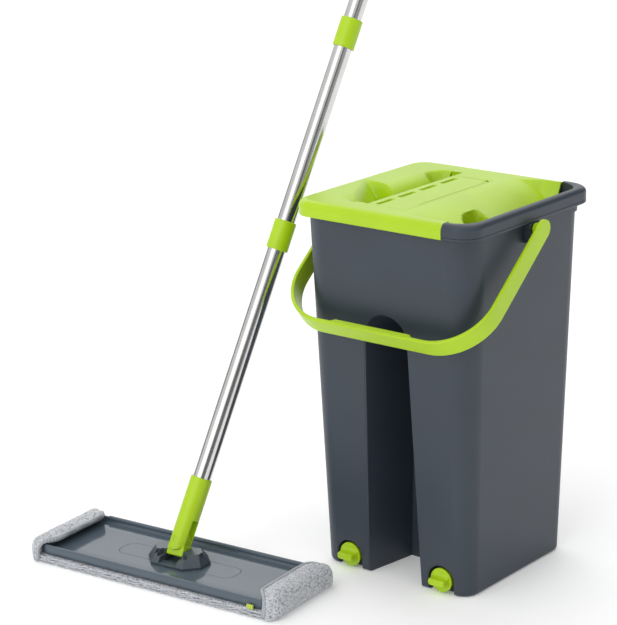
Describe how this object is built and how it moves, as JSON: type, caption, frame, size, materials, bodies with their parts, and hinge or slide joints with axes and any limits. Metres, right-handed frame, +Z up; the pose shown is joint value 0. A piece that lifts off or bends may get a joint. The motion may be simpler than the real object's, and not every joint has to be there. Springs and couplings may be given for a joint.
{
  "type": "mop and bucket with wringer",
  "caption": "Tall two-well mop bucket with a slotted wringer cover and carrying bail, beside a flat microfibre mop on a sectional steel pole.",
  "frame": {"origin": "centre of the bucket underside, on the floor", "axes": "+Z up; +X along the front face towards the wash well; -Y out of the front face"},
  "size_m": [0.4891, 0.6062, 1.1714],
  "materials": {
    "slate_plastic": "satin moulded",
    "lime_plastic": "semi-gloss moulded",
    "grey_plastic": "semi-gloss moulded",
    "dark_plastic": "satin moulded",
    "black_rubber": "matte",
    "polished_steel": "polished stainless",
    "pad_microfibre": "short looped pile",
    "tab_fabric": "woven tape"
  },
  "bodies": {
    "bucket": {"bucket_tub": "slate_plastic"},
    "cover": {"wringer_cover": "lime_plastic", "wash_rack": "lime_plastic"},
    "insert": {"wringer_insert": "lime_plastic", "scraper_strip": "black_rubber"},
    "bail": {"bail_handle": "lime_plastic", "bail_pin_left": "lime_plastic", "bail_pin_right": "lime_plastic"},
    "seal_left": {"drain_seal_left": "black_rubber"},
    "plug_left": {"drain_plug_left": "lime_plastic"},
    "seal_right": {"drain_seal_right": "black_rubber"},
    "plug_right": {"drain_plug_right": "lime_plastic"},
    "mop_head": {"mop_plate": "grey_plastic", "joint_bracket": "dark_plastic", "bracket_screw_1": "polished_steel", "bracket_screw_2": "polished_steel", "bracket_screw_3": "polished_steel", "bracket_screw_4": "polished_steel", "tilt_pin": "polished_steel", "mop_pad": "pad_microfibre", "pad_pocket_left": "pad_microfibre", "pad_pocket_right": "pad_microfibre", "pad_tab": "tab_fabric"},
    "block": {"cross_block": "lime_plastic", "swing_pin": "polished_steel"},
    "pole": {"fork_sleeve": "lime_plastic", "pole_tube_1": "polished_steel", "pole_tube_2": "polished_steel", "pole_tube_3": "polished_steel", "pole_tube_4": "polished_steel", "pole_tube_5": "polished_steel", "pole_collar_1": "lime_plastic", "pole_collar_2": "lime_plastic", "pole_collar_3": "lime_plastic", "pole_collar_4": "lime_plastic", "thread_insert_1": "dark_plastic", "thread_insert_2": "dark_plastic", "thread_insert_3": "dark_plastic", "thread_insert_4": "dark_plastic", "hand_grip": "lime_plastic", "hang_loop": "lime_plastic"}
  },
  "joints": [
    {"name": "cover_lift", "type": "slide", "parent": "bucket", "child": "cover", "axis": [0, 0, 1], "range_m": [0, 0.07]},
    {"name": "insert_lift", "type": "slide", "parent": "cover", "child": "insert", "axis": [0, 0, 1], "range_m": [0, 0.02]},
    {"name": "bail_swing", "type": "hinge", "parent": "bucket", "child": "bail", "pos_m": [0, 0, 0.3814], "axis": [-1, 0, 0], "range_deg": [0, 258.8]},
    {"name": "drain_left_pull", "type": "slide", "parent": "bucket", "child": "seal_left", "axis": [0, -1, 0], "range_m": [0, 0.018]},
    {"name": "drain_left_turn", "type": "hinge", "parent": "seal_left", "child": "plug_left", "pos_m": [-0.06, -0.08, 0.0144], "axis": [0, -1, 0], "range_deg": [0, 90]},
    {"name": "drain_right_pull", "type": "slide", "parent": "bucket", "child": "seal_right", "axis": [0, -1, 0], "range_m": [0, 0.018]},
    {"name": "drain_right_turn", "type": "hinge", "parent": "seal_right", "child": "plug_right", "pos_m": [0.06, -0.08, 0.0144], "axis": [0, -1, 0], "range_deg": [0, 90]},
    {"name": "mop_lift", "type": "slide", "parent": "bucket", "child": "mop_head", "axis": [0, 0, 1], "range_m": [0, 0.15]},
    {"name": "mop_tilt", "type": "hinge", "parent": "mop_head", "child": "block", "pos_m": [-0.1983, -0.2108, 0.025], "axis": [0.9962, 0.0872, 0], "range_deg": [-35.5, 84.5]},
    {"name": "mop_swing", "type": "hinge", "parent": "block", "child": "pole", "pos_m": [-0.19873, -0.20584, 0.03592], "axis": [-0.0793, 0.9065, -0.4147], "range_deg": [-48, 1]}
  ]
}
